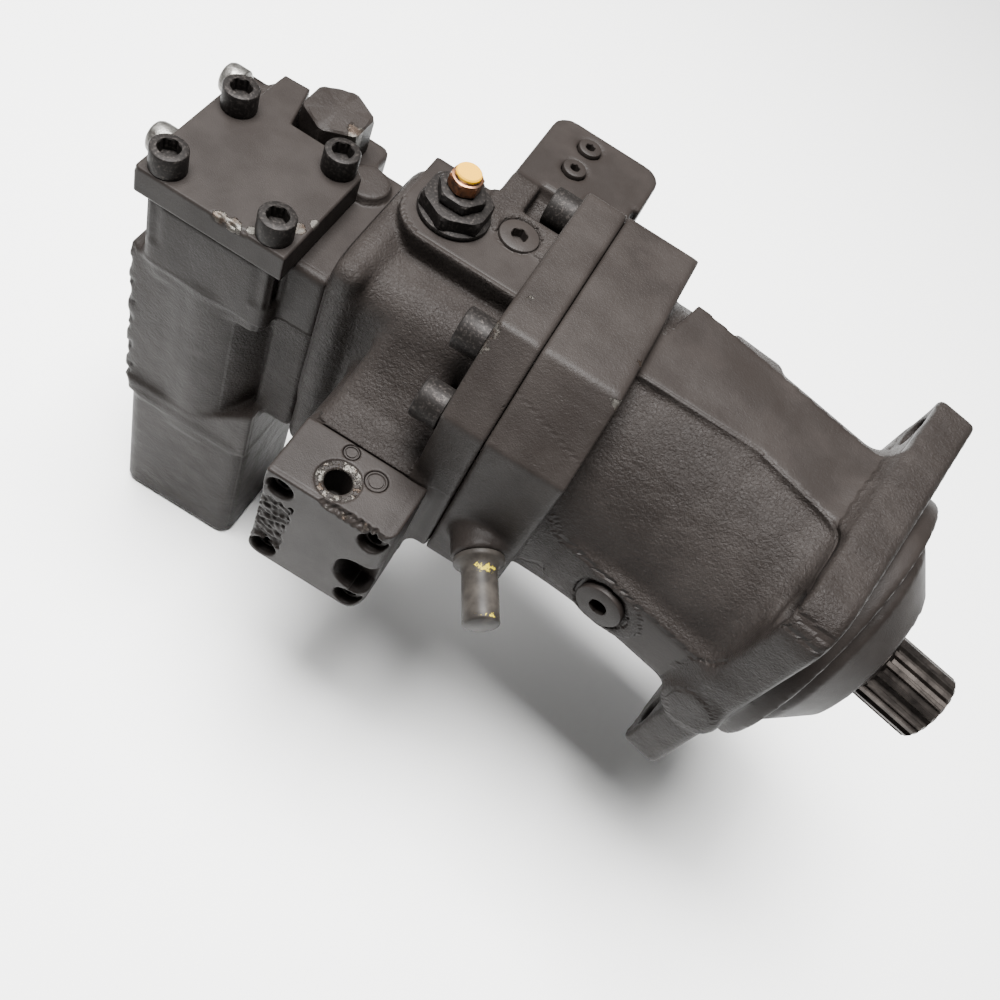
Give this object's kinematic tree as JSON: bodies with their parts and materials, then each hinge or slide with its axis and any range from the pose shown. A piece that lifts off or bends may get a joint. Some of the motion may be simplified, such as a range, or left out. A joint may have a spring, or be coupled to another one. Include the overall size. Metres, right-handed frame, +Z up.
{
  "type": "axial piston unit",
  "caption": "Bent-axis variable axial piston unit: round housing with square mounting flange and splined shaft, angled port plate with control block, and a bolted brake valve.",
  "frame": {"origin": "centre of the mounting face on the shaft axis", "axes": "+X out along the shaft, +Z up, +Y to the far side; the port plate and valve lie 12 degrees off the shaft axis in the XY plane"},
  "size_m": [0.4941, 0.2589, 0.3214],
  "materials": {
    "housing_paint": "satin dark grey-brown paint on rough casting",
    "machined_paint": "satin dark grey-brown paint on machined faces",
    "screw_black": "black oxide under thin paint",
    "bare_steel": "bare ground steel",
    "copper_nut": "copper-coloured plating with yellow paint mark",
    "inner_steel": "ground steel with oil film",
    "bronze": "bearing bronze",
    "seal_rubber": "black rubber"
  },
  "bodies": {
    "casing": {"main_housing": "housing_paint", "port_plate": "housing_paint", "valve_body": "housing_paint", "valve_cover": "machined_paint", "control_block": "machined_paint", "stop_screw_cap": "machined_paint", "control_top_plug_1": "machined_paint", "control_top_plug_2": "machined_paint", "gauge_port_plug": "machined_paint", "port_block_plug_1": "machined_paint", "port_block_plug_2": "machined_paint", "drain_plug": "machined_paint", "flange_screw_1": "screw_black", "flange_screw_2": "screw_black", "flange_screw_3": "screw_black", "flange_screw_4": "screw_black", "flange_screw_5": "screw_black", "flange_screw_6": "screw_black", "cover_screw_1": "screw_black", "cover_screw_2": "screw_black", "cover_screw_3": "screw_black", "cover_screw_4": "screw_black", "control_screw_1": "screw_black", "control_screw_2": "screw_black", "control_screw_3": "screw_black", "control_screw_4": "screw_black", "relief_cartridge": "screw_black", "relief_lock_nut": "screw_black", "valve_hex_plug": "screw_black", "control_end_plug": "screw_black", "valve_rear_screw_1": "bare_steel", "valve_rear_screw_2": "bare_steel", "relief_cap_nut": "copper_nut", "front_bearing_cup": "inner_steel", "rear_bearing_cup": "inner_steel", "shaft_seal": "seal_rubber"},
    "shaft": {"drive_shaft": "inner_steel", "retaining_plate": "inner_steel", "front_bearing_cone": "inner_steel", "rear_bearing_cone": "inner_steel"},
    "swivel_lens": {"control_lens": "bronze", "centre_pin": "inner_steel"},
    "block": {"cylinder_block": "inner_steel"},
    "positioning": {"positioning_piston": "inner_steel"},
    "control_valve_spool": {"control_spool": "inner_steel"},
    "brake_valve_spool": {"valve_spool": "inner_steel"},
    "ball_1": {"piston_ball_1": "inner_steel"},
    "piston_body_1": {"piston_1": "inner_steel"},
    "ball_2": {"piston_ball_2": "inner_steel"},
    "piston_body_2": {"piston_2": "inner_steel"},
    "ball_3": {"piston_ball_3": "inner_steel"},
    "piston_body_3": {"piston_3": "inner_steel"},
    "ball_4": {"piston_ball_4": "inner_steel"},
    "piston_body_4": {"piston_4": "inner_steel"},
    "ball_5": {"piston_ball_5": "inner_steel"},
    "piston_body_5": {"piston_5": "inner_steel"},
    "ball_6": {"piston_ball_6": "inner_steel"},
    "piston_body_6": {"piston_6": "inner_steel"},
    "ball_7": {"piston_ball_7": "inner_steel"},
    "piston_body_7": {"piston_7": "inner_steel"}
  },
  "joints": [
    {"name": "shaft_spin", "type": "hinge", "parent": "casing", "child": "shaft", "pos_m": [0, 0, 0], "axis": [1, 0, 0], "continuous": true},
    {"name": "swivel", "type": "hinge", "parent": "casing", "child": "swivel_lens", "pos_m": [-0.1, 0, 0], "axis": [0, 0, 1], "range_deg": [-12, 13]},
    {"name": "block_spin", "type": "hinge", "parent": "swivel_lens", "child": "block", "pos_m": [-0.1, 0, 0], "axis": [0.9781, 0.2079, 0], "continuous": true},
    {"name": "positioning_slide", "type": "slide", "parent": "casing", "child": "positioning", "axis": [-0.2079, 0.9781, 0], "range_m": [-0.0276, 0.0276]},
    {"name": "control_spool_slide", "type": "slide", "parent": "casing", "child": "control_valve_spool", "axis": [0.9781, 0.2079, 0], "range_m": [-0.004, 0.004], "stiffness_N_per_m": 200},
    {"name": "brake_spool_slide", "type": "slide", "parent": "casing", "child": "brake_valve_spool", "axis": [0, 0, 1], "range_m": [-0.008, 0.008], "stiffness_N_per_m": 2500},
    {"name": "ball_1_turn", "type": "hinge", "parent": "shaft", "child": "ball_1", "pos_m": [-0.1, 0.038, 0], "axis": [1, 0, 0], "continuous": true},
    {"name": "piston_1_tilt", "type": "hinge", "parent": "ball_1", "child": "piston_body_1", "pos_m": [-0.1, 0.038, 0], "axis": [0, 0, 1], "range_deg": [-12, 13]},
    {"name": "ball_2_turn", "type": "hinge", "parent": "shaft", "child": "ball_2", "pos_m": [-0.1, 0.02369, 0.02971], "axis": [1, 0, 0], "continuous": true},
    {"name": "piston_2_tilt", "type": "hinge", "parent": "ball_2", "child": "piston_body_2", "pos_m": [-0.1, 0.02369, 0.02971], "axis": [0, 0, 1], "range_deg": [-12, 13]},
    {"name": "ball_3_turn", "type": "hinge", "parent": "shaft", "child": "ball_3", "pos_m": [-0.1, -0.00846, 0.03705], "axis": [1, 0, 0], "continuous": true},
    {"name": "piston_3_tilt", "type": "hinge", "parent": "ball_3", "child": "piston_body_3", "pos_m": [-0.1, -0.00846, 0.03705], "axis": [0, 0, 1], "range_deg": [-12, 13]},
    {"name": "ball_4_turn", "type": "hinge", "parent": "shaft", "child": "ball_4", "pos_m": [-0.1, -0.03424, 0.01649], "axis": [1, 0, 0], "continuous": true},
    {"name": "piston_4_tilt", "type": "hinge", "parent": "ball_4", "child": "piston_body_4", "pos_m": [-0.1, -0.03424, 0.01649], "axis": [0, 0, 1], "range_deg": [-12, 13]},
    {"name": "ball_5_turn", "type": "hinge", "parent": "shaft", "child": "ball_5", "pos_m": [-0.1, -0.03424, -0.01649], "axis": [1, 0, 0], "continuous": true},
    {"name": "piston_5_tilt", "type": "hinge", "parent": "ball_5", "child": "piston_body_5", "pos_m": [-0.1, -0.03424, -0.01649], "axis": [0, 0, 1], "range_deg": [-12, 13]},
    {"name": "ball_6_turn", "type": "hinge", "parent": "shaft", "child": "ball_6", "pos_m": [-0.1, -0.00846, -0.03705], "axis": [1, 0, 0], "continuous": true},
    {"name": "piston_6_tilt", "type": "hinge", "parent": "ball_6", "child": "piston_body_6", "pos_m": [-0.1, -0.00846, -0.03705], "axis": [0, 0, 1], "range_deg": [-12, 13]},
    {"name": "ball_7_turn", "type": "hinge", "parent": "shaft", "child": "ball_7", "pos_m": [-0.1, 0.02369, -0.02971], "axis": [1, 0, 0], "continuous": true},
    {"name": "piston_7_tilt", "type": "hinge", "parent": "ball_7", "child": "piston_body_7", "pos_m": [-0.1, 0.02369, -0.02971], "axis": [0, 0, 1], "range_deg": [-12, 13]}
  ],
  "couplings": [
    {"joint": "block_spin", "follows": "shaft_spin", "ratio": 1},
    {"joint": "positioning_slide", "follows": "swivel", "m_per_rad": -0.121},
    {"joint": "ball_1_turn", "follows": "shaft_spin", "ratio": -1},
    {"joint": "piston_1_tilt", "follows": "swivel", "ratio": 1},
    {"joint": "ball_2_turn", "follows": "shaft_spin", "ratio": -1},
    {"joint": "piston_2_tilt", "follows": "swivel", "ratio": 1},
    {"joint": "ball_3_turn", "follows": "shaft_spin", "ratio": -1},
    {"joint": "piston_3_tilt", "follows": "swivel", "ratio": 1},
    {"joint": "ball_4_turn", "follows": "shaft_spin", "ratio": -1},
    {"joint": "piston_4_tilt", "follows": "swivel", "ratio": 1},
    {"joint": "ball_5_turn", "follows": "shaft_spin", "ratio": -1},
    {"joint": "piston_5_tilt", "follows": "swivel", "ratio": 1},
    {"joint": "ball_6_turn", "follows": "shaft_spin", "ratio": -1},
    {"joint": "piston_6_tilt", "follows": "swivel", "ratio": 1},
    {"joint": "ball_7_turn", "follows": "shaft_spin", "ratio": -1},
    {"joint": "piston_7_tilt", "follows": "swivel", "ratio": 1}
  ]
}
